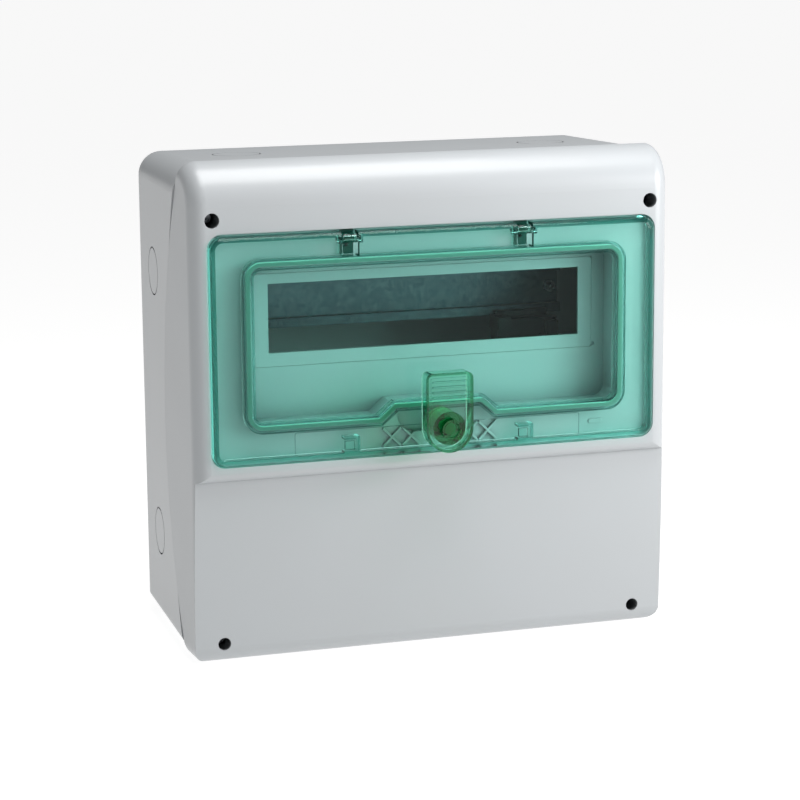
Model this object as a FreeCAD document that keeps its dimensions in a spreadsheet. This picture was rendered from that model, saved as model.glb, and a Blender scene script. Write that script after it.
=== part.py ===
import FreeCAD, Part
import Sketcher
import math
import os

# A surface-mounted twelve-module enclosure: X to the right, the wall behind it at Y = 0, Z up.
# Every depth below is measured forward from the wall, so a depth of 156 lies at Y = -156.

sizes = {
    # moulded rear base
    "base_half": 164.0, "base_top": 159.3, "base_low": 157.5, "base_corner": 16.0,
    "base_foot": 5.0,
    "base_draft": 1.7, "wall": 3.0,
    # the bowed joint between base and cover, a large cylinder lying along X
    "rim_bow": 46.25, "rim_set": 72.26, "rim_height": -9.1, "rim_gap": 1.2,
    # moulded front cover, which laps over the base all round
    "cover_front": 156.0, "cover_lap": 0.6, "cover_flare": 3.9, "cover_over": 6.3,
    "cover_under": 9.4, "top_round": 28.0, "low_round": 13.0, "edge_round": 11.0,
    "cover_wall": 4.0,
    # plain lower panel under the overhanging lip
    "lip_drop": 5.0, "lip_round": 6.0, "panel_lean": 6.0, "panel_round": 12.0,
    # transparent door and the recess that it lies in
    "door_inset": 10.7, "door_fall": 40.3, "door_low": -31.0, "door_corner": 9.0,
    "door_proud": 5.0, "door_lift": 2.5, "door_wall": 3.0, "door_side": 4.0,
    "door_edge": 5.0, "panel_half": 99.0, "panel_sunk": 0.7, "snap_x": 60.5,
    "door_gap": 1.0, "door_top_gap": 1.3, "ledge_set": 8.0, "ledge_wall": 3.0,
    # sealing lip and inner tub, with a raised middle at the latch
    "seal_inset": 24.8, "seal_fall": 19.0, "seal_low": -7.0, "seal_corner": 9.0,
    "seal_jog": 9.0, "jog_inner": 30.0, "jog_outer": 40.5, "lip_half_thick": 1.3,
    "lip_set": 1.5, "tub_deep": 25.0, "floor_wall": 3.0,
    "rib_thick": 1.4, "rib_clear": 0.9, "rib_set": 2.5,
    "gasket_half": 1.2,
    # well and cross ribs in the ledge behind the latch
    "well_half": 26.0, "well_drop": 7.0, "well_deep": 4.0, "well_corner": 12.0,
    "cross_first": -30.1, "cross_pitch": 13.4, "cross_drop": 9.5, "cross_tall": 2.2,
    # front plate round the module window
    "plate_inset": 10.5, "plate_low": 28.4, "plate_top": 90.0, "plate_thick": 1.5,
    "plate_clear": 0.2, "plate_seat": 5.0, "skirt": 5.0, "skirt_thick": 1.6,
    "window_width": 217.0, "window_tall": 46.0, "window_mid": 60.35,
    # hinges at the top edge of the door
    "hinge_x": 60.0, "hinge_fall": 4.5, "hinge_set": 4.0, "pin_radius": 1.25,
    "pin_long": 15.0, "bore_clear": 0.05, "knuckle_wall": 1.9, "notch_half": 5.6,
    "notch_fall": 11.5, "clip_half": 4.6, "clip_foot": 2.3, "peg_radius": 2.0,
    # latch in the lower edge of the door
    "latch_rise": 20.0, "latch_half": 16.0, "tab_rise": 37.1, "tab_corner": 4.0,
    "tab_gap": 10.0, "tab_thick": 11.0, "tab_wall": 1.6, "tab_face": 2.2,
    "tab_frame": 3.0, "tab_sunk": 0.9, "hub_radius": 11.0, "knob_radius": 6.8,
    "knob_tall": 4.0, "spindle_radius": 4.0, "cam_behind": 1.2, "cam_thick": 3.3,
    "cam_half_long": 8.0, "cam_half_wide": 3.5, "cam_clear": 1.5, "stub_radius": 2.0,
    "turn_gap": 0.1, "washer_thick": 1.6, "washer_rim": 3.0,
    # cover screws
    "screw_top_in": 13.5, "screw_top_fall": 29.9, "screw_low_in": 18.8,
    "screw_low_rise": 4.1, "sink_top": 4.85, "sink_low": 4.3, "sink_deep_top": 22.0,
    "sink_deep_low": 31.0, "thread": 1.6, "shank_clear": 0.7, "head_radius": 3.6,
    "head_tall": 3.0, "seal_thick": 0.8, "screw_reach": 60.0, "pilot_spare": 5.0,
    # mounting rail and its posts
    "rail_mid": 60.0, "rail_inset": 43.0, "rail_tall": 35.0, "rail_inner": 25.0,
    "device_deep": 65.0, "rail_deep": 7.5, "rail_sheet": 1.0, "post_inset": 6.0,
    "post_radius": 8.0, "slot_half": 4.0, "slot_tall": 5.2, "rail_screw_long": 15.5,
    # wall fixings and knock-outs
    "fixing_inset": 34.0, "fixing_z": 118.0, "fixing_radius": 2.75, "knock_depth": 45.0,
    "knock_radius": 16.5, "knock_upper": 83.0, "knock_lower": -98.0, "knock_top_x": 109.0,
    "knock_top_depth": 58.0, "score": 0.9,
    # terminal holder hanging from the lower edge of the rail
    "holder_left": 68.0, "holder_long": 44.0, "holder_low": 14.0, "holder_proud": 16.0,
    "hook_clear": 0.05, "bar_tall": 8.0, "bar_deep": 7.0, "bar_pitch": 7.5,
    "wire_radius": 1.9, "clamp_radius": 1.5,
}

doc = FreeCAD.newDocument("enclosure")
sheet = doc.addObject("Spreadsheet::Sheet", "Dims")
for row, (name, value) in enumerate(sizes.items(), 1):
    sheet.set("A%d" % row, name)
    sheet.set("B%d" % row, str(value))
    sheet.setAlias("B%d" % row, name)
doc.recompute()


class Size:
    # a length that knows both its value and its spreadsheet expression
    def __init__(self, value, text=None):
        self.value = float(value)
        self.text = text if text is not None else "(%.6f)" % value

    def mixed(self, other, sign):
        other = other if isinstance(other, Size) else Size(other)
        values = {"+": self.value + other.value, "-": self.value - other.value,
                  "*": self.value * other.value, "/": self.value / (other.value or 1.0)}
        return Size(values[sign], "(%s %s %s)" % (self.text, sign, other.text))

    def __add__(self, other):
        return self.mixed(other, "+")

    def __sub__(self, other):
        return self.mixed(other, "-")

    def __mul__(self, other):
        return self.mixed(other, "*")

    def __truediv__(self, other):
        return self.mixed(other, "/")

    def __radd__(self, other):
        return Size(other).mixed(self, "+")

    def __rsub__(self, other):
        return Size(other).mixed(self, "-")

    def __rmul__(self, other):
        return Size(other).mixed(self, "*")

    def __neg__(self):
        return Size(-self.value, "(-1 * %s)" % self.text)


class Sheet:
    # each spreadsheet size as an attribute
    def __init__(self, names):
        for key, number in names.items():
            setattr(self, key, Size(number, "Dims." + key))


dim = Sheet(sizes)
# what follows from those sizes, so that every piece keeps its place when one of them changes
dim.cover_half = dim.base_half + dim.cover_lap
dim.cover_top = dim.base_top + dim.cover_over
dim.cover_low = dim.base_low + dim.cover_under
dim.base_deep = dim.cover_front - 22
dim.rim_mid = dim.cover_front - dim.rim_set
dim.rim_rise = dim.base_top + 5.7 - dim.rim_height
dim.rim_radius = (dim.rim_rise * dim.rim_rise + dim.rim_bow * dim.rim_bow) / dim.rim_bow * 0.5
dim.rim_depth = dim.rim_mid + dim.rim_radius
dim.door_half = dim.base_half - dim.door_inset
dim.door_top = dim.base_top - dim.door_fall
dim.door_front = dim.cover_front + dim.door_proud
dim.door_inner = dim.door_front - dim.door_wall
dim.ledge = dim.cover_front - dim.ledge_set
dim.door_back = dim.ledge + dim.door_lift
dim.recess_half = dim.door_half + dim.door_gap
dim.recess_top = dim.door_top + dim.door_top_gap
dim.recess_low = dim.door_low - dim.door_gap
dim.recess_corner = dim.door_corner + 0.8
dim.lip_height = dim.door_low - dim.lip_drop
dim.seal_half = dim.door_half - dim.seal_inset
dim.seal_top = dim.door_top - dim.seal_fall
dim.lip_front = dim.cover_front - dim.lip_set
dim.rib_tip = dim.lip_front - dim.rib_set
dim.rib_out = dim.lip_half_thick + dim.rib_clear + dim.rib_thick
dim.floor = dim.cover_front - dim.tub_deep
dim.plate_half = dim.seal_half - dim.plate_inset
dim.hinge_height = dim.door_top - dim.hinge_fall
dim.hinge_depth = dim.door_front - dim.hinge_set
dim.knuckle = dim.pin_radius + dim.knuckle_wall
dim.latch_height = dim.door_low + dim.latch_rise
dim.tab_top = dim.latch_height + dim.tab_rise
dim.tab_back = dim.door_front + dim.tab_gap
dim.tab_front = dim.tab_back + dim.tab_thick
dim.knob_front = dim.tab_front + dim.knob_tall
dim.well_floor = dim.ledge - dim.well_deep
dim.cam_front = dim.well_floor - dim.ledge_wall - dim.cam_behind
dim.screw_top_x = dim.base_half - dim.screw_top_in
dim.screw_top_z = dim.base_top - dim.screw_top_fall
dim.screw_low_x = dim.base_half - dim.screw_low_in
dim.screw_low_z = dim.screw_low_rise - dim.base_low
dim.sink_floor_top = dim.cover_front - dim.sink_deep_top
dim.sink_floor_low = dim.cover_front - dim.sink_deep_low
dim.screw_tip = dim.cover_front - dim.screw_reach
dim.shank_hole = dim.thread + dim.shank_clear
dim.rail_half = dim.base_half - dim.rail_inset
dim.rail_front = dim.floor - dim.device_deep
dim.rail_back = dim.rail_front - dim.rail_deep
dim.post_x = dim.rail_half - dim.post_inset
dim.fixing_x = dim.base_half - dim.fixing_inset
dim.holder_right = dim.holder_left + dim.holder_long
dim.holder_front = dim.rail_front + dim.holder_proud


def size(thing):
    return thing if isinstance(thing, Size) else Size(thing)


def bind(thing, path, length):
    thing.setExpression(path, size(length).text)


def newBody(label):
    body = doc.addObject("PartDesign::Body", "Body")
    body.Label = label
    return body


def sketchOn(body, plane, depth):
    sketch = body.newObject("Sketcher::SketchObject", "Sketch")
    origin = [f for f in body.Origin.OriginFeatures if f.Role == plane][0]
    sketch.AttachmentSupport = [(origin, "")]
    sketch.MapMode = "FlatFace"
    bind(sketch, "AttachmentOffset.Base.z", depth)
    return sketch


def pin(sketch, item, end, x, y):
    """Hold one point of the sketch at bound coordinates."""
    for kind, axis, length in (("DistanceX", -2, size(x)), ("DistanceY", -1, size(y))):
        if abs(length.value) < 1e-9:
            sketch.addConstraint(Sketcher.Constraint("PointOnObject", item, end, axis))
            continue
        index = sketch.addConstraint(
            Sketcher.Constraint(kind, -1, 1, item, end, length.value))
        sketch.setExpression("Constraints[%d]" % index, length.text)


def path(sketch, corners):
    """A closed outline. A corner is (x, y), or (x, y, radius, cx, cy) where an arc starts."""
    items = []
    count = len(corners)
    points = [(size(c[0]), size(c[1])) for c in corners]
    for i, corner in enumerate(corners):
        x, y = points[i]
        nx, ny = points[(i + 1) % count]
        if len(corner) == 2:
            line = Part.LineSegment(FreeCAD.Vector(x.value, y.value, 0),
                                    FreeCAD.Vector(nx.value, ny.value, 0))
            items.append((sketch.addGeometry(line, False), 1, 2))
            continue
        radius, cx, cy = (size(v) for v in corner[2:])
        first = math.atan2(y.value - cy.value, x.value - cx.value)
        last = math.atan2(ny.value - cy.value, nx.value - cx.value)
        turn = math.sin(last - first)
        start, end = (first, last) if turn > 0 else (last, first)
        circle = Part.Circle(FreeCAD.Vector(cx.value, cy.value, 0),
                             FreeCAD.Vector(0, 0, 1), radius.value)
        item = sketch.addGeometry(Part.ArcOfCircle(circle, start, end), False)
        items.append((item, 1, 2) if turn > 0 else (item, 2, 1))
        index = sketch.addConstraint(Sketcher.Constraint("Radius", item, radius.value))
        sketch.setExpression("Constraints[%d]" % index, radius.text)
    for i in range(count):
        item, _, tail = items[i]
        after, head, _ = items[(i + 1) % count]
        sketch.addConstraint(Sketcher.Constraint("Coincident", item, tail, after, head))
    for i in range(count):
        pin(sketch, items[i][0], items[i][1], *points[i])


def roundRect(x0, x1, y0, y1, lowLeft, lowRight=None, topRight=None, topLeft=None):
    """Corners of a rectangle, each rounded; a radius of 0 keeps that corner sharp."""
    radii = [lowLeft] + [lowLeft if r is None else r for r in (lowRight, topRight, topLeft)]
    x0, x1, y0, y1 = size(x0), size(x1), size(y0), size(y1)
    low, right, top, left = (size(r) for r in radii)
    out = []
    if low.value:
        out.append((x0, y0 + low, low, x0 + low, y0 + low))
        out.append((x0 + low, y0))
    else:
        out.append((x0, y0))
    if right.value:
        out.append((x1 - right, y0, right, x1 - right, y0 + right))
        out.append((x1, y0 + right))
    else:
        out.append((x1, y0))
    if top.value:
        out.append((x1, y1 - top, top, x1 - top, y1 - top))
        out.append((x1 - top, y1))
    else:
        out.append((x1, y1))
    if left.value:
        out.append((x0 + left, y1, left, x0 + left, y1 - left))
        out.append((x0, y1 - left))
    else:
        out.append((x0, y1))
    return out


def circleIn(sketch, x, y, radius):
    x, y, radius = size(x), size(y), size(radius)
    circle = Part.Circle(FreeCAD.Vector(x.value, y.value, 0), FreeCAD.Vector(0, 0, 1),
                         radius.value)
    item = sketch.addGeometry(circle, False)
    index = sketch.addConstraint(Sketcher.Constraint("Radius", item, radius.value))
    sketch.setExpression("Constraints[%d]" % index, radius.text)
    pin(sketch, item, 3, x, y)


def grow(body, kind, sketch, length, taper=None):
    """Pad or pocket along the sketch's own normal."""
    feature = body.newObject("PartDesign::" + kind, kind)
    feature.Profile = sketch
    bind(feature, "Length", length)
    if kind == "Pocket":
        feature.Reversed = True
    if taper is not None:
        bind(feature, "TaperAngle", taper)
    sketch.Visibility = False
    doc.recompute()
    return feature


def slab(label, outlines, d0, d1, plane="XZ_Plane"):
    """A body padded from depth d0 to d1 over one outline, or between two of them."""
    body = newBody(label)
    sketch = sketchOn(body, plane, d0)
    for outline in outlines:
        path(sketch, outline)
    grow(body, "Pad", sketch, size(d1) - d0)
    return body


def block(label, x0, x1, z0, z1, d0, d1):
    item = doc.addObject("Part::Box", "Box")
    item.Label = label
    bind(item, "Length", size(x1) - x0)
    bind(item, "Width", size(d1) - d0)
    bind(item, "Height", size(z1) - z0)
    bind(item, "Placement.Base.x", x0)
    bind(item, "Placement.Base.y", -size(d1))
    bind(item, "Placement.Base.z", z0)
    return item


def rod(label, x, z, d0, d1, radius):
    """A cylinder pointing forward from depth d0 to d1."""
    item = doc.addObject("Part::Cylinder", "Cylinder")
    item.Label = label
    item.Placement.Rotation = FreeCAD.Rotation(FreeCAD.Vector(1, 0, 0), 90)
    bind(item, "Radius", radius)
    bind(item, "Height", size(d1) - d0)
    bind(item, "Placement.Base.x", x)
    bind(item, "Placement.Base.y", -size(d0))
    bind(item, "Placement.Base.z", z)
    return item


def axle(label, x0, x1, depth, z, radius):
    """A cylinder lying along X."""
    item = doc.addObject("Part::Cylinder", "Cylinder")
    item.Label = label
    item.Placement.Rotation = FreeCAD.Rotation(FreeCAD.Vector(0, 1, 0), 90)
    bind(item, "Radius", radius)
    bind(item, "Height", size(x1) - x0)
    bind(item, "Placement.Base.x", x0)
    bind(item, "Placement.Base.y", -size(depth))
    bind(item, "Placement.Base.z", z)
    return item


def upright(label, x, depth, z0, z1, radius):
    """A cylinder standing along Z."""
    item = doc.addObject("Part::Cylinder", "Cylinder")
    item.Label = label
    bind(item, "Radius", radius)
    bind(item, "Height", size(z1) - z0)
    bind(item, "Placement.Base.x", x)
    bind(item, "Placement.Base.y", -size(depth))
    bind(item, "Placement.Base.z", z0)
    return item


def fuse(label, things):
    item = doc.addObject("Part::MultiFuse", "Fusion")
    item.Label = label
    item.Shapes = things
    return item


def cut(label, base, tools):
    item = doc.addObject("Part::Cut", "Cut")
    item.Label = label
    item.Base = base
    item.Tool = tools[0] if len(tools) == 1 else fuse(label + " cutters", tools)
    return item


def common(label, things):
    item = doc.addObject("Part::MultiCommon", "Common")
    item.Label = label
    item.Shapes = things
    return item


def group(label, things):
    item = doc.addObject("Part::Compound", "Compound")
    item.Label = label
    item.Links = things
    return item


sides = (("left", -1.0), ("right", 1.0))


def rimCylinder(label, shrink):
    return axle(label, -dim.base_half - 60, dim.base_half + 60, dim.rim_depth,
                dim.rim_height, dim.rim_radius - shrink)


def makeBase():
    body = newBody("base shell")
    sketch = sketchOn(body, "XZ_Plane", 0)
    foot, top = dim.base_foot, dim.base_corner
    path(sketch, roundRect(-dim.base_half, dim.base_half, -dim.base_low, dim.base_top,
                           foot, foot, top, top))
    grow(body, "Pad", sketch, dim.base_deep, dim.base_draft)
    inner = sketchOn(body, "XZ_Plane", dim.wall)
    path(inner, roundRect(dim.wall - dim.base_half, dim.base_half - dim.wall,
                          dim.wall - dim.base_low, dim.base_top - dim.wall,
                          foot - dim.wall, foot - dim.wall, top - dim.wall,
                          top - dim.wall))
    grow(body, "Pocket", inner, dim.base_deep, dim.base_draft)
    added = [body]
    holes = []
    for name, way in sides:
        x = way * dim.screw_top_x
        added.append(rod("upper boss " + name, x, dim.screw_top_z, 1, dim.base_deep, 6))
        added.append(block("upper boss web " + name,
                           *spanX(way, dim.screw_top_x, dim.base_half - 0.8),
                           dim.screw_top_z - 1.2, dim.screw_top_z + 1.2, 1,
                           dim.base_deep - 29))
        pilot = dim.screw_tip - dim.pilot_spare
        holes.append(rod("upper pilot " + name, x, dim.screw_top_z, pilot,
                         dim.base_deep + 6, dim.thread))
        x = way * dim.screw_low_x
        added.append(rod("lower boss " + name, x, dim.screw_low_z, pilot - 14, dim.base_deep,
                         4.4))
        drift = (pilot - 8) * dim.base_draft * 0.0175
        added.append(block("lower boss web " + name, x - 1.2, x + 1.2,
                           dim.wall * 0.5 - dim.base_low - drift, dim.screw_low_z,
                           pilot - 14, pilot - 2))
        holes.append(rod("lower pilot " + name, x, dim.screw_low_z, pilot,
                         dim.base_deep + 6, dim.thread))
        x = way * dim.post_x
        added.append(rod("rail post " + name, x, dim.rail_mid, 1, dim.rail_back,
                         dim.post_radius))
        for turn in (-1.0, 1.0):
            z0 = dim.rail_mid + turn * (dim.post_radius - 1) if turn > 0 else dim.rail_mid - 20
            z1 = dim.rail_mid + 20 if turn > 0 else dim.rail_mid - (dim.post_radius - 1)
            added.append(block("rail post fin " + name, x - 1.2, x + 1.2, z0, z1, 1,
                               dim.rail_back - 12))
        holes.append(rod("rail pilot " + name, x, dim.rail_mid,
                         dim.rail_back - dim.rail_screw_long - 3, dim.rail_back + 1,
                         dim.thread))
        for z in (dim.fixing_z, -dim.fixing_z):
            added.append(rod("fixing pad " + name, way * dim.fixing_x, z, 1, dim.wall + 3,
                             9))
            holes.append(rod("fixing hole " + name, way * dim.fixing_x, z, -1,
                             dim.wall + 5, dim.fixing_radius))
    solid = fuse("base with bosses", added)
    holes.append(rimCylinder("joint surface of the base", 0))
    holes.append(scoreRings())
    return cut("rear_base", solid, holes)


def spanX(way, near, far):
    """Left and right ends, in order, of a span running outward on one side."""
    return (near, size(far)) if way > 0 else (-size(far), -near)


def scoreRings():
    """Round scored outlines of the cable knock-outs, in the sides, top and bottom."""
    rings = []
    out = dim.base_half
    for way, z in ((1, dim.knock_upper), (1, dim.knock_lower),
                   (-1, dim.knock_upper), (-1, dim.knock_lower)):
        x0 = out + 0.2 if way > 0 else -out - 8
        x1 = out + 8 if way > 0 else -out - 0.2
        outer = axle("side score", x0, x1, dim.knock_depth, z, dim.knock_radius)
        inner = axle("side score core", x0, x1, dim.knock_depth, z,
                     dim.knock_radius - dim.score)
        rings.append(cut("side score ring", outer, [inner]))
    for x in (-dim.knock_top_x, dim.knock_top_x):
        for z0, z1 in ((dim.base_top + 0.6, dim.base_top + 8),
                       (-dim.base_low - 8, -dim.base_low - 0.6)):
            outer = upright("end score", x, dim.knock_top_depth, z0, z1, dim.knock_radius)
            inner = upright("end score core", x, dim.knock_top_depth, z0, z1,
                            dim.knock_radius - dim.score)
            rings.append(cut("end score ring", outer, [inner]))
    return group("knock-out scores", rings)


def coverBlock(label, inset):
    """The cover's outer form, or the hollow inside it when set in by the wall."""
    front, back = dim.cover_front - inset, dim.rim_mid - 20
    body = newBody(label)
    wide = dim.base_half + 20
    profile = sketchOn(body, "YZ_Plane", -wide)
    path(profile, roundRect(-front, -back, inset - dim.cover_low, dim.cover_top - inset,
                            dim.low_round - inset, 0, 0, dim.top_round - inset))
    grow(body, "Pad", profile, wide * 2)
    for way in (-1.0, 1.0):
        trim = sketchOn(body, "XY_Plane", -dim.cover_low - 20)
        near = way * (dim.cover_half - inset)
        far = way * (dim.cover_half + dim.cover_flare * (92.0 / 72.0) - inset)
        path(trim, [(near, -front), (far, -back), (way * (wide + 5), -back + 1),
                    (way * (wide + 5), -front - 1), (near, -front - 1)])
        grow(body, "Pocket", trim, dim.cover_low + dim.cover_top + 40)
    faces = [f for f in body.Shape.Faces
             if abs(f.CenterOfMass.x) > dim.base_half.value - 14
             and f.Surface.TypeId == "Part::GeomPlane"]
    chosen = []
    for index, edge in enumerate(body.Shape.Edges, 1):
        onSide = any(edge.isSame(e) for f in faces for e in f.Edges)
        atBack = all(abs(v.Point.y + back.value) < 0.01 for v in edge.Vertexes)
        if onSide and not atBack:
            chosen.append("Edge%d" % index)
    rounding = body.newObject("PartDesign::Fillet", "Fillet")
    rounding.Base = (body.Tip if body.Tip != rounding else rounding.BaseFeature, chosen)
    bind(rounding, "Radius", dim.edge_round - inset)
    doc.recompute()
    step = sketchOn(body, "YZ_Plane", -wide - 10)
    lip = dim.lip_round
    lipLow = dim.lip_height - dim.lip_round + inset
    lipTop = lipLow + lip
    inner = front - lip
    low = front - dim.lip_round - dim.panel_lean
    bottom = inset - dim.cover_low
    bend = dim.panel_round - inset
    path(step, [(-front - 30, lipTop), (-front, lipTop, lip, -inner, lipTop),
                (-inner, lipLow),
                (-low, bottom + bend, bend, bend - low, bottom + bend),
                (bend - low, bottom), (bend - low, bottom - 30), (-front - 30, bottom - 30)])
    grow(body, "Pocket", step, wide * 2 + 20)
    return body


def sealPath(offset):
    """Outline of the sealing lip, grown by an offset; its lower edge rises round the latch."""
    half, top, low = dim.seal_half + offset, dim.seal_top + offset, dim.seal_low - offset
    corner = dim.seal_corner + offset
    out, inn = dim.jog_outer - offset * 0.4, dim.jog_inner - offset * 0.4
    high = low + dim.seal_jog
    return [(-half, low + corner, corner, corner - half, low + corner), (corner - half, low),
            (-out, low), (-inn, high), (inn, high), (out, low),
            (half - corner, low, corner, half - corner, low + corner), (half, low + corner),
            (half, top - corner, corner, half - corner, top - corner), (half - corner, top),
            (corner - half, top, corner, corner - half, top - corner), (-half, top - corner)]


def crossBar(label, x, z, long, thick, turn):
    """One bar of a cross-shaped rib on the ledge, turned by 45 degrees either way."""
    item = doc.addObject("Part::Box", "Box")
    item.Label = label
    item.Placement.Rotation = FreeCAD.Rotation(FreeCAD.Vector(0, 1, 0), 45 * turn)
    slant = math.sqrt(0.5)
    shiftX = (size(long) * 0.5 + turn * (size(thick) * 0.5)) * slant
    shiftZ = (size(thick) * 0.5 - turn * (size(long) * 0.5)) * slant
    bind(item, "Length", long)
    bind(item, "Width", dim.cross_tall + 0.5)
    bind(item, "Height", thick)
    bind(item, "Placement.Base.x", size(x) - shiftX)
    bind(item, "Placement.Base.y", -(dim.ledge + dim.cross_tall))
    bind(item, "Placement.Base.z", size(z) - shiftZ)
    return item


def wellPath(offset):
    """Outline of the shallow well behind the latch, grown by an offset."""
    half = dim.well_half + offset
    low = dim.latch_height - dim.well_drop - offset
    top = dim.seal_low + dim.seal_jog - dim.lip_half_thick - 1.7
    return roundRect(-half, half, low, top, dim.well_corner + offset, None, 1, 1)


def makeCover():
    shell = cut("cover shell", coverBlock("cover outside", size(0)),
                [coverBlock("cover inside", dim.cover_wall)])
    grip = dim.ledge_wall
    added = [
        shell,
        slab("ledge", [roundRect(-dim.recess_half - grip, dim.recess_half + grip,
                                 dim.recess_low - grip, dim.recess_top + grip,
                                 dim.recess_corner + grip)],
             dim.ledge - grip, dim.cover_front - 1),
    ]
    tub = slab("tub", [sealPath(dim.lip_half_thick)], dim.floor - dim.floor_wall,
               dim.lip_front)
    added.append(block("lower flange", 6 - dim.base_half, dim.base_half - 6,
                       1.5 - dim.cover_low, 0.4 - dim.base_low, dim.rim_mid + 16,
                       dim.rim_mid + 36))
    holes = []
    for name, way in sides:
        x = way * dim.screw_top_x
        low, high = dim.screw_tip, dim.cover_front + 14
        added.append(rod("upper tower " + name, x, dim.screw_top_z, low,
                         dim.cover_front - 1, dim.sink_top + 3.15))
        holes.append(rod("upper sink " + name, x, dim.screw_top_z, dim.sink_floor_top,
                         high, dim.sink_top))
        holes.append(rod("upper way " + name, x, dim.screw_top_z, low - 5,
                         dim.sink_floor_top + 5, dim.shank_hole))
        x = way * dim.screw_low_x
        added.append(rod("lower tower " + name, x, dim.screw_low_z, low,
                         dim.cover_front - 16, dim.sink_low + 3.2))
        holes.append(rod("lower sink " + name, x, dim.screw_low_z, dim.sink_floor_low,
                         high, dim.sink_low))
        holes.append(rod("lower way " + name, x, dim.screw_low_z, low - 5,
                         dim.sink_floor_low + 5, dim.shank_hole))
        holes.append(rod("clip seat " + name, way * dim.hinge_x, dim.hinge_height - 4.5,
                         dim.ledge - 8, dim.ledge + 2, dim.peg_radius))
    recess = slab("door recess", [roundRect(-dim.recess_half, dim.recess_half,
                                            dim.recess_low, dim.recess_top,
                                            dim.recess_corner)], dim.ledge,
                  dim.cover_front + 19)
    outside = common("cover form", [fuse("cover with towers", added),
                                    coverBlock("cover limit", size(0))])
    hollow = cut("cover with recess", outside, [recess])
    ribs = []
    for step in (0, 1, 4, 5):
        for turn in (-1, 1):
            ribs.append(crossBar("cross rib", dim.cross_first + dim.cross_pitch * step,
                                 dim.latch_height - dim.cross_drop, dim.cross_pitch * 1.3,
                                 1.5, turn))
    x, z = 114.6, dim.latch_height - 8.8
    ribs.append(slab("oval pip", [roundRect(x - 5, x + 5, z - 1.5, z + 1.5, 1.4)],
                     dim.ledge - 0.5, dim.ledge + 0.6))
    well = slab("well", [wellPath(0)], dim.well_floor, dim.ledge + dim.cross_tall + 1)
    ledged = cut("cover with well", fuse("cover with ribs", [hollow] + ribs), [well])
    cup = cut("well cup", slab("well outside", [wellPath(dim.ledge_wall)],
                               dim.well_floor - dim.ledge_wall, dim.ledge - 0.5),
              [slab("well inside", [wellPath(0)], dim.well_floor, dim.ledge + 1)])
    joined = fuse("cover with tub", [ledged, cup, tub])
    holes.append(slab("tub hollow", [sealPath(-dim.lip_half_thick)], dim.floor,
                      dim.cover_front + 14))
    gap, seat = dim.plate_clear, dim.plate_seat
    holes.append(block("plate rebate", -dim.plate_half - gap, dim.plate_half + gap,
                       dim.plate_low - gap, dim.plate_top + gap,
                       dim.floor - dim.plate_thick, dim.floor + 9))
    holes.append(block("plate opening", seat - dim.plate_half, dim.plate_half - seat,
                       dim.plate_low + seat, dim.plate_top - seat,
                       dim.floor - dim.floor_wall - 8, dim.floor + 9))
    holes.append(rod("lever hole", dim.plate_half + 1.2, dim.plate_low + 1.8,
                     dim.floor - 1.2, dim.floor + 9, 1.4))
    slotHalf = dim.spindle_radius + dim.cam_clear
    slotTall = dim.cam_half_long + dim.cam_clear
    holes.append(block("cam slot", -slotHalf, slotHalf, dim.latch_height - slotTall,
                       dim.latch_height + slotTall, dim.cam_front - 3,
                       dim.ledge + 5))
    body = cut("cover with openings", joined, holes)
    return common("front_cover", [body, rimCylinder("joint surface of the cover",
                                                    dim.rim_gap)])


def makeCoverGasket():
    half, inn = dim.base_half + 2.2, dim.base_half - 0.1
    foot, top = dim.base_foot, dim.base_corner
    ring = slab("gasket ring",
                [roundRect(-half, half, -dim.base_low - 2.2, dim.base_top + 2.6,
                           foot + 2, foot + 2, top + 2, top + 2),
                 roundRect(-inn, inn, 0.1 - dim.base_low, dim.base_top + 0.3,
                           foot - 0.3, foot - 0.3, top - 0.3, top - 0.3)],
                dim.rim_mid - 14, dim.cover_front - 16)
    kept = common("gasket band", [ring, rimCylinder("gasket back", 0)])
    ways = [rod("screw way " + name, way * dim.screw_low_x, dim.screw_low_z,
                dim.screw_tip - 16, dim.cover_front - 6, dim.thread + 0.4) for name, way in sides]
    return cut("cover_gasket", kept, [rimCylinder("gasket front", dim.rim_gap)] + ways)


def makePlate():
    half = dim.window_width * 0.5
    low, top = (dim.window_mid - dim.window_tall * 0.5, dim.window_mid + dim.window_tall * 0.5)
    face = slab("plate face", [roundRect(-dim.plate_half, dim.plate_half, dim.plate_low,
                                         dim.plate_top, 2)],
                dim.floor - dim.plate_thick, dim.floor)
    edge = dim.plate_seat + dim.plate_clear
    skirt = slab("plate skirt", [roundRect(edge - dim.plate_half, dim.plate_half - edge,
                                           dim.plate_low + edge, dim.plate_top - edge, 0)],
                 dim.floor - dim.plate_thick - dim.skirt, dim.floor - 0.5)
    edge = edge + dim.skirt_thick
    inside = block("skirt hollow", edge - dim.plate_half, dim.plate_half - edge,
                   dim.plate_low + edge, dim.plate_top - edge, dim.floor - 30,
                   dim.floor - dim.plate_thick)
    window = block("module window", -half, half, low, top, dim.floor - 30, dim.floor + 9)
    return cut("front_plate", fuse("plate solid", [face, skirt]), [inside, window])


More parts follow.
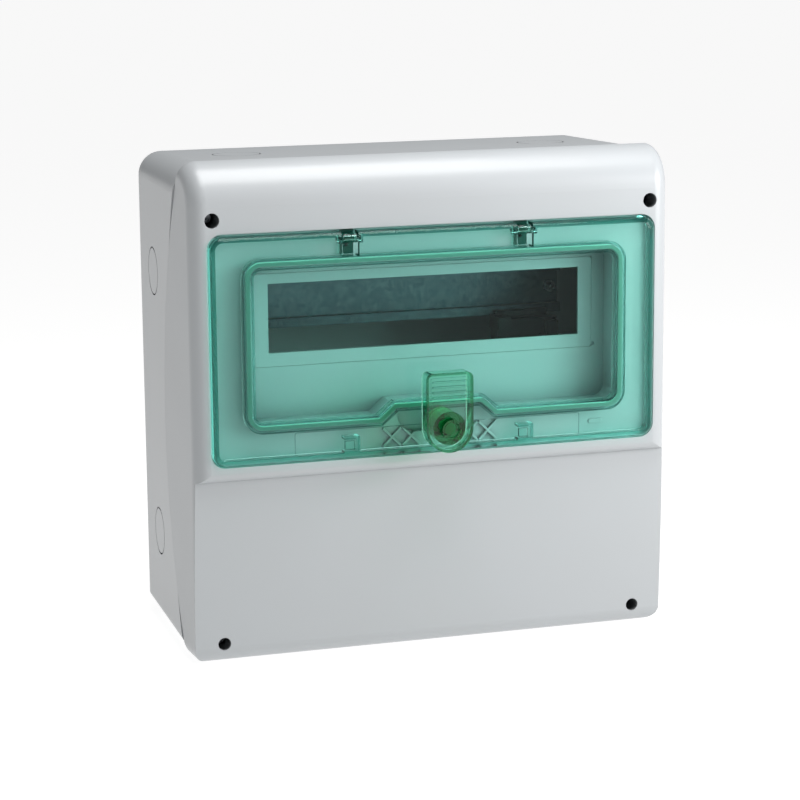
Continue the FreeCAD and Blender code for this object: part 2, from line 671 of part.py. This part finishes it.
def makeDoor():
    body = newBody("door shell")
    sketch = sketchOn(body, "XZ_Plane", dim.door_back)
    path(sketch, roundRect(-dim.door_half, dim.door_half, dim.door_low, dim.door_top,
                           dim.door_corner))
    grow(body, "Pad", sketch, dim.door_front - dim.door_back)
    front = [f for f in body.Shape.Faces
             if abs(f.CenterOfMass.y + dim.door_front.value) < 0.01][0]
    names = ["Edge%d" % i for i, e in enumerate(body.Shape.Edges, 1)
             if any(e.isSame(other) for other in front.Edges)]
    base = body.Tip
    rounding = body.newObject("PartDesign::Fillet", "Fillet")
    rounding.Base = (base, names)
    bind(rounding, "Radius", dim.door_edge)
    doc.recompute()
    wall = dim.door_side
    behind = dim.door_inner
    inner = sketchOn(body, "XZ_Plane", dim.door_back - 1)
    path(inner, roundRect(wall - dim.door_half, dim.door_half - wall, dim.door_low + wall,
                          dim.door_top - wall, dim.door_corner - wall))
    grow(body, "Pocket", inner, behind - dim.door_back + 1)
    sunk = sketchOn(body, "XZ_Plane", behind - 1)
    path(sunk, roundRect(-dim.panel_half, dim.panel_half, dim.door_low + wall + 0.6,
                         dim.seal_low - dim.rib_out - 0.6, 1.5))
    grow(body, "Pocket", sunk, dim.panel_sunk + 1)
    near = dim.lip_half_thick + dim.rib_clear
    added = [body,
             rod("spindle seat", 0, dim.latch_height, behind, behind + 1.2,
                 dim.spindle_radius + 4.5),
             slab("outer rib", [sealPath(near + dim.rib_thick), sealPath(near)],
                  dim.rib_tip, behind + 0.5),
             slab("inner rib", [sealPath(-near), sealPath(-near - dim.rib_thick)],
                  dim.rib_tip, behind + 0.5)]
    holes = []
    for name, way in sides:
        near, far = dim.notch_half - 1, dim.pin_long * 0.5 + 1.2
        for start, end in ((-far, -near), (near, far)):
            added.append(axle("cheek " + name, way * dim.hinge_x + start,
                              way * dim.hinge_x + end, dim.hinge_depth, dim.hinge_height,
                              dim.knuckle))
        holes.append(block("hinge notch " + name, way * dim.hinge_x - dim.notch_half,
                           way * dim.hinge_x + dim.notch_half,
                           dim.hinge_height - dim.notch_fall, dim.door_top + 2,
                           dim.door_back - 2, dim.door_front + 4))
        holes.append(axle("pin seat " + name, way * dim.hinge_x - dim.pin_long * 0.5,
                          way * dim.hinge_x + dim.pin_long * 0.5, dim.hinge_depth,
                          dim.hinge_height, dim.pin_radius))
        x, z0, z1 = way * dim.snap_x, dim.door_low + 3.2, dim.door_low + 14.8
        outer = block("snap box " + name, x - 5, x + 5.5, z0, z1, dim.door_back + 1,
                      behind + 1.2)
        inside = block("snap hollow " + name, x - 9, x + 3.5, z0 + 2, z1 - 2,
                       dim.door_back, behind + 2)
        added.append(cut("snap wall " + name, outer, [inside]))
        added.append(block("snap tongue " + name, x - 4.5, x + 2, z0 + 3, z1 - 3,
                           behind - 1.5, behind + 1.2))
    holes.append(rod("spindle hole", 0, dim.latch_height, dim.door_back, dim.door_front + 9,
                     dim.spindle_radius + dim.bore_clear))
    return cut("door", fuse("door solid", added), holes)


def makeDoorGasket():
    return slab("door_gasket", [sealPath(dim.gasket_half), sealPath(-dim.gasket_half)],
                dim.lip_front,
                dim.door_inner)


def makeHinge(name, way):
    x = way * dim.hinge_x
    half = dim.clip_half
    clip = fuse("clip solid " + name, [
        block("clip foot " + name, x - half, x + half,
              dim.hinge_height - dim.notch_fall + 0.5,
              dim.recess_top - 0.8, dim.ledge, dim.ledge + dim.clip_foot),
        block("clip arm " + name, x - half + 1, x + half - 1, dim.hinge_height - 3,
              dim.hinge_height + 3, dim.ledge + 1, dim.hinge_depth - 0.5),
        axle("clip barrel " + name, x - half, x + half, dim.hinge_depth, dim.hinge_height,
             dim.knuckle),
        rod("clip peg " + name, x, dim.hinge_height - 4.5,
            dim.ledge - dim.ledge_wall - 0.6, dim.ledge + 1, dim.peg_radius)])
    bore = axle("clip bore " + name, x - 20, x + 20, dim.hinge_depth, dim.hinge_height,
                dim.pin_radius + dim.bore_clear)
    cut("hinge_clip_" + name, clip, [bore])
    axle("hinge_pin_" + name, x - dim.pin_long * 0.5, x + dim.pin_long * 0.5,
         dim.hinge_depth, dim.hinge_height, dim.pin_radius)


def tabPath(offset):
    half, z, top = dim.latch_half + offset, dim.latch_height, dim.tab_top + offset
    corner = dim.tab_corner + offset
    return [(-half, z, half, 0, z), (0, z - half, half, 0, z), (half, z),
            (half, top - corner, corner, half - corner, top - corner), (half - corner, top),
            (corner - half, top, corner, corner - half, top - corner), (-half, top - corner)]


def makeLatch():
    z = dim.latch_height
    back, front = dim.tab_back, dim.tab_front
    cap = cut("tab cap", slab("tab outside", [tabPath(size(0))], back, front), [
        slab("tab hollow", [tabPath(-dim.tab_wall)], back - 1, front - dim.tab_face),
        slab("tab panel", [tabPath(-dim.tab_frame)], front - dim.tab_sunk, front + 5)])
    floor = front - dim.tab_sunk
    added = [cap,
             rod("hub", 0, z, dim.door_front + dim.turn_gap, floor - 0.5, dim.hub_radius),
             rod("knob", 0, z, floor - 1, dim.knob_front, dim.knob_radius)]
    for step in range(5):
        low = dim.tab_top - dim.tab_frame - 3.4 * step - 3.4
        reach = dim.latch_half - dim.tab_frame - 1.2
        added.append(block("grip rib", -reach, reach, low, low + 1.1, floor - 0.5,
                           floor + 0.8))
    cut("latch_handle", fuse("handle solid", added), [
        rod("handle bore", 0, z, dim.door_back, front - 3, dim.spindle_radius),
        rod("knob dish", 0, z, dim.knob_front - 1.4, dim.knob_front + 9,
            dim.knob_radius - 1.6)])
    rear = dim.cam_front - dim.cam_thick
    fuse("latch_spindle", [
        rod("stem", 0, z, dim.cam_front, front - 3, dim.spindle_radius),
        rod("stub", 0, z, rear - 1, dim.cam_front + 1, dim.stub_radius),
        rod("snap head", 0, z, rear - 1.6, rear, dim.stub_radius + 0.8)])
    behind = dim.door_inner - dim.turn_gap
    disc = rod("washer disc", 0, z, behind - dim.washer_thick, behind,
               dim.spindle_radius + dim.washer_rim)
    cut("latch_washer", disc, [rod("washer hole", 0, z, dim.door_back, dim.door_front,
                                   dim.spindle_radius)])
    cam = slab("cam plate", [roundRect(-dim.cam_half_wide, dim.cam_half_wide,
                                       z - dim.cam_half_long, z + dim.cam_half_long, 2.4)],
               rear, dim.cam_front)
    cut("latch_cam", cam, [rod("cam hole", 0, z, rear - 10, dim.cam_front + 6,
                               dim.stub_radius)])


def makeRail():
    mid, thin = dim.rail_mid, dim.rail_sheet
    outer, inner = dim.rail_tall * 0.5, dim.rail_inner * 0.5
    back, lips = -dim.rail_back, -dim.rail_front
    body = newBody("rail section")
    sketch = sketchOn(body, "YZ_Plane", -dim.rail_half)
    path(sketch, [(back, mid - inner), (back, mid + inner), (lips + thin, mid + inner),
                  (lips + thin, mid + outer), (lips, mid + outer), (lips, mid + inner - thin),
                  (back - thin, mid + inner - thin), (back - thin, mid - inner + thin),
                  (lips, mid - inner + thin), (lips, mid - outer), (lips + thin, mid - outer),
                  (lips + thin, mid - inner)])
    grow(body, "Pad", sketch, dim.rail_half * 2)
    slots = []
    for name, way in sides:
        x = way * dim.post_x
        slots.append(block("rail slot " + name, x - dim.slot_half, x + dim.slot_half,
                           mid - dim.slot_tall * 0.5, mid + dim.slot_tall * 0.5,
                           dim.rail_back - 5, dim.rail_back + 3))
    cut("din_rail", body, slots)


def screwGroup(label, places, socket):
    """Identical screws as separate solids: (x, z, depth under the head, tip, head radius)."""
    made = []
    for x, z, under, tip, radius in places:
        solid = fuse(label + " screw", [
            rod(label + " head", x, z, under, size(under) + dim.head_tall, radius),
            rod(label + " shank", x, z, tip, size(under) + 1, dim.thread)])
        made.append(cut(label + " one", solid, [
            rod(label + " socket", x, z, size(under) + 1.2, size(under) + 8, socket)]))
    group(label, made)


def makeScrews():
    places, rings = [], []
    for name, way in sides:
        for x, z, floor, tip in (
                (way * dim.screw_top_x, dim.screw_top_z, dim.sink_floor_top,
                 dim.screw_tip),
                (way * dim.screw_low_x, dim.screw_low_z, dim.sink_floor_low,
                 dim.screw_tip)):
            places.append((x, z, floor + dim.seal_thick, tip, dim.head_radius))
            disc = rod("seal disc", x, z, floor, floor + dim.seal_thick, dim.head_radius)
            rings.append(cut("seal ring", disc, [rod("seal hole", x, z, floor - 5, floor + 5,
                                                     dim.thread)]))
    screwGroup("cover_screws", places, 1.5)
    group("screw_seals", rings)
    screwGroup("rail_screws", [(way * dim.post_x, dim.rail_mid,
                                dim.rail_back + dim.rail_sheet,
                                dim.rail_back - dim.rail_screw_long + 1, size(3.9))
                               for name, way in sides], 1.2)


def makeTerminals():
    left, right = dim.holder_left, dim.holder_right
    low, front = dim.holder_low, dim.holder_front
    edge = dim.rail_mid - dim.rail_tall * 0.5
    lips = dim.rail_front
    solid = fuse("holder solid", [
        block("holder foot", left, right, low, edge - 1, lips + 4, front),
        block("holder hook", left + 3, right - 3, edge - 9, edge + 3.6, lips - 4, lips + 5),
        block("holder ear left", left, left + 9, edge - 8, edge + 1, lips + 1, front + 4),
        block("holder ear right", right - 9, right, edge - 14, edge - 3, lips + 1,
              front + 4)])
    cut("terminal_holder", solid, [
        block("rail slot in the hook", left - 1, right + 1, edge - dim.hook_clear, edge + 6,
              lips - dim.rail_sheet - dim.hook_clear, lips + dim.hook_clear),
        block("holder relief", left + 10, right - 10, low + 11, edge - 12, front - 7,
              front + 10)])
    top = low + dim.bar_tall + 1
    bar = block("bar stock", left + 2, right - 2, low + 1, top, front, front + dim.bar_deep)
    wires, made = [], []
    for step in range(5):
        x = left + 7 + step * dim.bar_pitch
        face = front + dim.bar_deep
        mid = low + dim.bar_tall * 0.5 + 1
        wires.append(upright("wire way", x, front + dim.bar_deep * 0.5, low - 9, top + 9,
                             dim.wire_radius))
        wires.append(rod("clamp thread", x, mid, front + 2, face + 9, dim.clamp_radius))
        solid = rod("clamp screw", x, mid, face - 2.3, face + 1, dim.clamp_radius)
        made.append(cut("clamp one", solid, [
            block("clamp slit", x - 2, x + 2, mid - 0.3, mid + 0.3, face + 0.3, face + 3)]))
    cut("terminal_bar", bar, wires)
    group("terminal_screws", made)


makeBase()
makeCover()
makeCoverGasket()
makePlate()
makeDoor()
makeDoorGasket()
for sideName, sideWay in sides:
    makeHinge(sideName, sideWay)
makeLatch()
makeRail()
makeScrews()
makeTerminals()
doc.recompute()

nodes = ["rear_base", "front_cover", "cover_gasket", "front_plate", "door", "door_gasket",
         "hinge_clip_left", "hinge_clip_right", "hinge_pin_left", "hinge_pin_right",
         "latch_handle", "latch_spindle", "latch_washer", "latch_cam", "din_rail",
         "rail_screws", "cover_screws", "screw_seals", "terminal_holder",
         "terminal_bar", "terminal_screws"]

for thing in doc.Objects:
    if "Invalid" in thing.State or "Error" in thing.State:
        raise RuntimeError("%s could not be built" % thing.Label)

os.makedirs("parts", exist_ok=True)
for name in nodes:
    shape = doc.getObjectsByLabel(name)[0].Shape
    if shape.isNull() or not shape.isValid():
        raise RuntimeError("%s is not a valid solid" % name)
    shape.exportStep(os.path.join("parts", name + ".step"))
    print(name, len(shape.Solids), "solids, volume", round(shape.Volume / 1000.0, 2), "cm3")
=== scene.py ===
import math
import bpy
from mathutils import Matrix, Vector


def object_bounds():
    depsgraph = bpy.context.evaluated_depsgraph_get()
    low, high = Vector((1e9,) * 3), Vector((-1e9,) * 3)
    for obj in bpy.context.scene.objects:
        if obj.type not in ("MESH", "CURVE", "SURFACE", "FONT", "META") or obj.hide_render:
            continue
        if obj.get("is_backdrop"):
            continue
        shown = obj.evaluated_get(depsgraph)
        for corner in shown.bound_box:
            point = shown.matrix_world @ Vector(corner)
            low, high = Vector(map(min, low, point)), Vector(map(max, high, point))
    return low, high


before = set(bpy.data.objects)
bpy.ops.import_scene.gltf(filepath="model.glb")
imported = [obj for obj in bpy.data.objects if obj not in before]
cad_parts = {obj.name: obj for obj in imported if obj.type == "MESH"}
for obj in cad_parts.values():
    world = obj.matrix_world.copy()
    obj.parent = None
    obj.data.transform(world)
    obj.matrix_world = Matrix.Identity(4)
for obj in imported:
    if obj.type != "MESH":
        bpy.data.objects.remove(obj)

cadLow, cadHigh = (list(corner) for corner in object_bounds())  # the CAD box, straight after loading

cameraSet = {
    "place": (-0.53283, -1.74718, 0.33836),
    "target": (0.02355, 0.0, -0.02749),
    "roll": -0.46,  # degrees
    "lens": 116.43,
    "sensor": 36.0,
    "nearest": 0.05,  # metres
    "farthest": 60.0,
}


def makeCamera(c):
    place, target = Vector(c["place"]), Vector(c["target"])
    forward = (target - place).normalized()
    right = forward.cross(Vector((0, 0, 1))).normalized()
    up = right.cross(forward)
    turn = math.radians(c["roll"])
    right, up = (right * math.cos(turn) + up * math.sin(turn),
                 up * math.cos(turn) - right * math.sin(turn))
    data = bpy.data.cameras.new("camera")
    data.lens, data.sensor_width = c["lens"], c["sensor"]
    data.clip_start, data.clip_end = c["nearest"], c["farthest"]
    camera = bpy.data.objects.new("camera", data)
    columns = [right, up, -forward]
    camera.matrix_world = Matrix([[*(v[i] for v in columns), place[i]] for i in range(3)]
                                 + [[0, 0, 0, 1]])
    bpy.context.scene.collection.objects.link(camera)
    bpy.context.scene.camera = camera


makeCamera(cameraSet)
print("camera set")


def toLinear(code):
    # sRGB hex to linear red, green, blue and alpha
    parts = [int(code[i:i + 2], 16) / 255 for i in (0, 2, 4)]
    return tuple(v / 12.92 if v <= 0.04045 else ((v + 0.055) / 1.055) ** 2.4
                 for v in parts) + (1.0,)


def addNode(tree, kind, settings=None, inputs=None, links=None):
    # one node with its settings, socket values and incoming links
    node = tree.nodes.new(kind)
    for name, value in (settings or {}).items():
        setattr(node, name, value)
    for name, value in (inputs or {}).items():
        node.inputs[name].default_value = value
    for name, source in (links or {}).items():
        tree.links.new(source, node.inputs[name])
    return node


def newMaterial(name):
    material = bpy.data.materials.new(name)
    material.use_nodes = True
    tree = material.node_tree
    tree.nodes.clear()
    output = addNode(tree, "ShaderNodeOutputMaterial")
    place = addNode(tree, "ShaderNodeTexCoord").outputs["Object"]
    return material, tree, output, place


mouldedPlastic = {
    "base": "ABAEB0",  # light grey
    "cloudy": "ACB0B3",  # slightly cooler where the melt ran thin
    "paintedShadeColour": "2B3033",  # painted shade: the colour painted where little light gets in, behind rims and inside the box
    "paintedShadeReach": 0.045,  # metres, how far the painted shade looks for walls around a place
    "paintedShadeFrom": 0.08,  # share of open view at which the painted shade is darkest
    "paintedShadeTo": 0.62,  # and at which the painted shade is gone and the plastic has its full colour
    "roughness": 0.34,
    "smoother": 0.03,  # how far the grain takes the roughness down
    "rougher": 0.05,  # and up
    "bend": 1.53,  # refractive index
    "coat": 0.06,
    "coatRoughness": 0.15,
    "edgeRound": 0.5,  # mm, the softened corner of a moulded edge
    "cloudSize": 60.0,  # mm across one soft patch
    "grainSize": 0.45,  # mm across one grain, coarser than the tool's spark texture so that it shows
    "grainDepth": 0.00002,  # metres
    "grainStrength": 0.35,
    "sinkSize": 45.0,  # mm across one shallow sink mark
    "sinkDepth": 0.0006,  # metres
    "sinkStrength": 0.5,
}


def makeMouldedPlastic(name, c):
    # injection-moulded ABS: a faint spark texture under a satin gloss, with shallow sink marks, and
    # painted shade that darkens the colour behind rims and inside the box
    material, tree, output, place = newMaterial(name)
    cloud = addNode(tree, "ShaderNodeTexNoise", {}, {"Scale": 1000 / c["cloudSize"],
                                                     "Detail": 2.0}, {"Vector": place})
    tint = addNode(tree, "ShaderNodeMix", {"data_type": "RGBA"}, {},
                   {"Factor": cloud.outputs["Fac"]})
    tint.inputs[6].default_value = toLinear(c["base"])
    tint.inputs[7].default_value = toLinear(c["cloudy"])
    # painted shade: ambient occlusion pulls the base colour towards the painted shade colour where
    # little light gets in
    paintedShadeOcclusion = addNode(tree, "ShaderNodeAmbientOcclusion", {"samples": 4, "only_local": True},
                      {"Distance": c["paintedShadeReach"]})
    paintedShadeMask = addNode(tree, "ShaderNodeMapRange", {}, {"From Min": c["paintedShadeFrom"],
                                                   "From Max": c["paintedShadeTo"]},
                  {"Value": paintedShadeOcclusion.outputs["AO"]})
    shade = addNode(tree, "ShaderNodeMix", {"data_type": "RGBA"}, {},
                    {"Factor": paintedShadeMask.outputs["Result"]})
    shade.inputs[6].default_value = toLinear(c["paintedShadeColour"])
    tree.links.new(tint.outputs[2], shade.inputs[7])
    grain = addNode(tree, "ShaderNodeTexNoise", {}, {"Scale": 1000 / c["grainSize"],
                                                     "Detail": 1.0}, {"Vector": place})
    sink = addNode(tree, "ShaderNodeTexNoise", {}, {"Scale": 1000 / c["sinkSize"],
                                                    "Detail": 0.0}, {"Vector": place})
    rough = addNode(tree, "ShaderNodeMapRange", {}, {"To Min": c["roughness"] - c["smoother"],
                                                     "To Max": c["roughness"] + c["rougher"]},
                    {"Value": grain.outputs["Fac"]})
    corner = addNode(tree, "ShaderNodeBevel", {"samples": 4}, {"Radius": c["edgeRound"] / 1000})
    broad = addNode(tree, "ShaderNodeBump", {}, {"Strength": c["sinkStrength"],
                                                 "Distance": c["sinkDepth"]},
                    {"Height": sink.outputs["Fac"], "Normal": corner.outputs["Normal"]})
    fine = addNode(tree, "ShaderNodeBump", {}, {"Strength": c["grainStrength"],
                                                "Distance": c["grainDepth"]},
                   {"Height": grain.outputs["Fac"], "Normal": broad.outputs["Normal"]})
    shader = addNode(tree, "ShaderNodeBsdfPrincipled", {},
                     {"IOR": c["bend"], "Coat Weight": c["coat"],
                      "Coat Roughness": c["coatRoughness"]},
                     {"Base Color": shade.outputs[2], "Roughness": rough.outputs["Result"],
                      "Normal": fine.outputs["Normal"]})
    tree.links.new(shader.outputs["BSDF"], output.inputs["Surface"])
    return material


clearPlastic = {
    "surface": "F6FFFC",
    "edge": "0C4238",  # painted shade: a dark green painted along rounded edges, standing in for the view bending towards dark places
    "edgeWide": 0.55,  # mm
    "edgeFrom": 0.995,  # agreement of the two normals at which the painted dark edge begins
    "edgeTo": 0.80,  # and at which it is full
    "deep": "3CE6DC",  # what a long way through the wall lets pass
    "density": 92.0,  # per metre
    "shadow": "D0E8E2",
    "shine": 0.22,  # share of the face-on mirror image that is kept
    "roughness": 0.02,
    "bend": 1.58,  # refractive index
    "rippleSize": 40.0,  # mm
    "rippleDepth": 0.00005,  # metres
    "rippleStrength": 0.3,
}

# the latch is thicker and greener than the door, and shines more
# its painted edge shade is a deeper green
latchPlastic = dict(clearPlastic, deep="18E2BE", density=190.0, edge="0E5C48",
                    surface="E4FFF6", shadow="B4EBD8", shine=0.6)


def makeClearPlastic(name, c):
    # tinted polycarbonate: clear, polished, with painted shade along its rounded edges where the eye
    # looks along a wall
    material, tree, output, place = newMaterial(name)
    ripple = addNode(tree, "ShaderNodeTexNoise", {}, {"Scale": 1000 / c["rippleSize"],
                                                      "Detail": 0.0}, {"Vector": place})
    wave = addNode(tree, "ShaderNodeBump", {}, {"Strength": c["rippleStrength"],
                                                "Distance": c["rippleDepth"]},
                   {"Height": ripple.outputs["Fac"]})
    rounded = addNode(tree, "ShaderNodeBevel", {"samples": 6}, {"Radius": c["edgeWide"] / 1000})
    flat = addNode(tree, "ShaderNodeNewGeometry")
    agree = addNode(tree, "ShaderNodeVectorMath", {"operation": "DOT_PRODUCT"})
    tree.links.new(rounded.outputs["Normal"], agree.inputs[0])
    tree.links.new(flat.outputs["Normal"], agree.inputs[1])
    # mask of the painted edge shade, where the rounded normal turns away from the flat one
    corner = addNode(tree, "ShaderNodeMapRange", {}, {"From Min": c["edgeFrom"],
                                                      "From Max": c["edgeTo"]},
                     {"Value": agree.outputs["Value"]})
    tint = addNode(tree, "ShaderNodeMix", {"data_type": "RGBA"}, {},
                   {"Factor": corner.outputs["Result"]})
    tint.inputs[6].default_value = toLinear(c["surface"])
    tint.inputs[7].default_value = toLinear(c["edge"])
    glass = addNode(tree, "ShaderNodeBsdfPrincipled", {},
                    {"Transmission Weight": 1.0, "IOR": c["bend"], "Roughness": c["roughness"],
                     "Specular Tint": (c["shine"], c["shine"], c["shine"], 1.0)},
                    {"Base Color": tint.outputs[2], "Normal": wave.outputs["Normal"]})
    through = addNode(tree, "ShaderNodeBsdfTransparent", {}, {"Color": toLinear(c["shadow"])})
    lamp = addNode(tree, "ShaderNodeLightPath")
    blend = addNode(tree, "ShaderNodeMixShader", {}, {}, {"Fac": lamp.outputs["Is Shadow Ray"]})
    tree.links.new(glass.outputs["BSDF"], blend.inputs[1])
    tree.links.new(through.outputs["BSDF"], blend.inputs[2])
    depth = addNode(tree, "ShaderNodeVolumeAbsorption", {},
                    {"Color": toLinear(c["deep"]), "Density": c["density"]})
    tree.links.new(blend.outputs["Shader"], output.inputs["Surface"])
    tree.links.new(depth.outputs["Volume"], output.inputs["Volume"])
    return material


metalSurface = {
    "smoother": 0.08,  # how far one crystal's roughness falls below the usual
    "rougher": 0.12,  # and rises above it
    "relief": 0.00005,  # metres
    "reliefStrength": 0.25,
}
plainMetal = {  # patch is mm across one crystal
    "zinc": {"light": "B9BDC1", "dark": "7F858B", "roughness": 0.32, "patch": 3.0},
    # painted shade: the bluish tone is the galvanised steel's own, but the colour is darkened well
    # below bare zinc to stand in for the dark inside of the box that the rail reflects
    "galvanised": {"light": "626E75", "dark": "525E65", "roughness": 0.40, "patch": 2.6},
    "brass": {"light": "D8B468", "dark": "A8823C", "roughness": 0.30, "patch": 2.0},
}


def makeMetal(name, c):
    # plated or galvanised metal: crystals of slightly different tone and gloss
    material, tree, output, place = newMaterial(name)
    flakes = addNode(tree, "ShaderNodeTexVoronoi", {}, {"Scale": 1000 / c["patch"]},
                     {"Vector": place})
    tone = addNode(tree, "ShaderNodeSeparateColor", {}, {}, {"Color": flakes.outputs["Color"]})
    tint = addNode(tree, "ShaderNodeMix", {"data_type": "RGBA"}, {},
                   {"Factor": tone.outputs["Red"]})
    tint.inputs[6].default_value = toLinear(c["dark"])
    tint.inputs[7].default_value = toLinear(c["light"])
    rough = addNode(tree, "ShaderNodeMapRange", {}, {
                        "To Min": c["roughness"] - metalSurface["smoother"],
                        "To Max": c["roughness"] + metalSurface["rougher"]},
                    {"Value": tone.outputs["Green"]})
    wave = addNode(tree, "ShaderNodeBump", {}, {"Strength": metalSurface["reliefStrength"],
                                                "Distance": metalSurface["relief"]},
                   {"Height": tone.outputs["Blue"]})
    shader = addNode(tree, "ShaderNodeBsdfPrincipled", {}, {"Metallic": 1.0},
                     {"Base Color": tint.outputs[2], "Roughness": rough.outputs["Result"],
                      "Normal": wave.outputs["Normal"]})
    tree.links.new(shader.outputs["BSDF"], output.inputs["Surface"])
    return material


mattSurface = {
    "relief": 0.00004,  # metres
    "reliefStrength": 0.2,
    "bend": 1.5,  # refractive index
}
mattPlastic = {  # grain is mm across one grain
    "nylon": {"light": "0D0E10", "dark": "090A0B", "roughness": 0.5, "grain": 0.8},
    "foam": {"light": "222426", "dark": "141516", "roughness": 0.85, "grain": 0.7},
    "latchCore": {"light": "2EB690", "dark": "219F79", "roughness": 0.35, "grain": 4.0},
    "doorFoam": {"light": "BFD2CB", "dark": "B2C7BF", "roughness": 0.6, "grain": 0.6},
}


def makeMattPlastic(name, c):
    # moulded nylon or rubber: matt, or a soft gloss on the latch, with a fine uneven tone
    material, tree, output, place = newMaterial(name)
    grain = addNode(tree, "ShaderNodeTexNoise", {}, {"Scale": 1000 / c["grain"],
                                                     "Detail": 3.0}, {"Vector": place})
    tint = addNode(tree, "ShaderNodeMix", {"data_type": "RGBA"}, {},
                   {"Factor": grain.outputs["Fac"]})
    tint.inputs[6].default_value = toLinear(c["dark"])
    tint.inputs[7].default_value = toLinear(c["light"])
    wave = addNode(tree, "ShaderNodeBump", {}, {"Strength": mattSurface["reliefStrength"],
                                                "Distance": mattSurface["relief"]},
                   {"Height": grain.outputs["Fac"]})
    shader = addNode(tree, "ShaderNodeBsdfPrincipled", {},
                     {"Roughness": c["roughness"], "IOR": mattSurface["bend"]},
                     {"Base Color": tint.outputs[2], "Normal": wave.outputs["Normal"]})
    tree.links.new(shader.outputs["BSDF"], output.inputs["Surface"])
    return material


housing = makeMouldedPlastic("mouldedAbsLightGrey", mouldedPlastic)
doorClear = makeClearPlastic("tintedPolycarbonate", clearPlastic)
latchClear = makeClearPlastic("deepGreenPolycarbonate", latchPlastic)
zinc = makeMetal("zincPlatedSteel", plainMetal["zinc"])
galvanised = makeMetal("galvanisedSteel", plainMetal["galvanised"])
brass = makeMetal("turnedBrass", plainMetal["brass"])
nylon = makeMattPlastic("blackNylon", mattPlastic["nylon"])
foam = makeMattPlastic("foamedRubber", mattPlastic["foam"])
doorFoam = makeMattPlastic("doorSealRubber", mattPlastic["doorFoam"])
latchCore = makeMattPlastic("greenNylon", mattPlastic["latchCore"])

finishes = {
    "rear_base": housing, "front_cover": housing, "front_plate": housing,
    "door": doorClear, "hinge_clip_left": doorClear, "hinge_clip_right": doorClear,
    "latch_handle": latchClear, "latch_spindle": latchCore, "latch_cam": latchCore,
    "latch_washer": latchClear, "hinge_pin_left": doorClear, "hinge_pin_right": doorClear,
    "cover_gasket": foam, "screw_seals": foam, "door_gasket": doorFoam,
    "rail_screws": zinc,
    "cover_screws": zinc, "terminal_screws": zinc,
    "din_rail": galvanised, "terminal_bar": brass, "terminal_holder": nylon,
}
for node, finish in finishes.items():
    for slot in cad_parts[node].material_slots:
        slot.material = finish
print("materials on", len(finishes), "nodes")


studio = {
    "floorColour": "8C8C8B",
    "floorReach": 16.0,  # metres from the middle to an edge
    "floorDrop": 0.0005,  # metres below the object
    "floorRoughness": 0.9,
    "floorShine": 0.1,
    "floorGlow": 0.90,  # takes the floor to white
    "sky": 0.13,
    "aim": (0, -0.08, 0),  # where both lamps point
}


def makeFloor(c):
    # one flat square under the object
    reach, z = c["floorReach"], cadLow[2] - c["floorDrop"]
    mesh = bpy.data.meshes.new("floor")
    mesh.from_pydata([(-reach, -reach, z), (reach, -reach, z), (reach, reach, z),
                      (-reach, reach, z)], [], [(0, 1, 2, 3)])
    floor = bpy.data.objects.new("floor", mesh)
    bpy.context.scene.collection.objects.link(floor)
    material, tree, output = newMaterial("paintedFloor")[:3]
    shader = addNode(tree, "ShaderNodeBsdfPrincipled", {},
                     {"Base Color": toLinear(c["floorColour"]), "Roughness": c["floorRoughness"],
                      "Specular IOR Level": c["floorShine"], "Emission Color": (1, 1, 1, 1),
                      "Emission Strength": c["floorGlow"]})
    tree.links.new(shader.outputs["BSDF"], output.inputs["Surface"])
    mesh.materials.append(material)
    floor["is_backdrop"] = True


lamps = {
    "key": {"place": (0.62, -0.62, 0.25), "size": 0.40, "power": 6.0},
    "top": {"place": (0.05, -0.32, 1.10), "size": 0.80, "power": 15.0},
}


def makeLamps(c, aimAt):
    for name, lamp in c.items():
        data = bpy.data.lights.new(name, "AREA")
        data.shape, data.size, data.energy = "SQUARE", lamp["size"], lamp["power"]
        item = bpy.data.objects.new(name, data)
        item.location = lamp["place"]
        aim = Vector(aimAt) - item.location
        item.rotation_euler = aim.to_track_quat("-Z", "Y").to_euler()
        bpy.context.scene.collection.objects.link(item)


def makeSky(c):
    world = bpy.data.worlds.new("studio")
    world.use_nodes = True
    sky = world.node_tree.nodes["Background"]
    sky.inputs["Color"].default_value = (1, 1, 1, 1)
    sky.inputs["Strength"].default_value = c["sky"]
    bpy.context.scene.world = world


makeFloor(studio)
makeLamps(lamps, studio["aim"])
makeSky(studio)
bpy.context.scene.view_settings.view_transform = "Standard"
print("stage set")
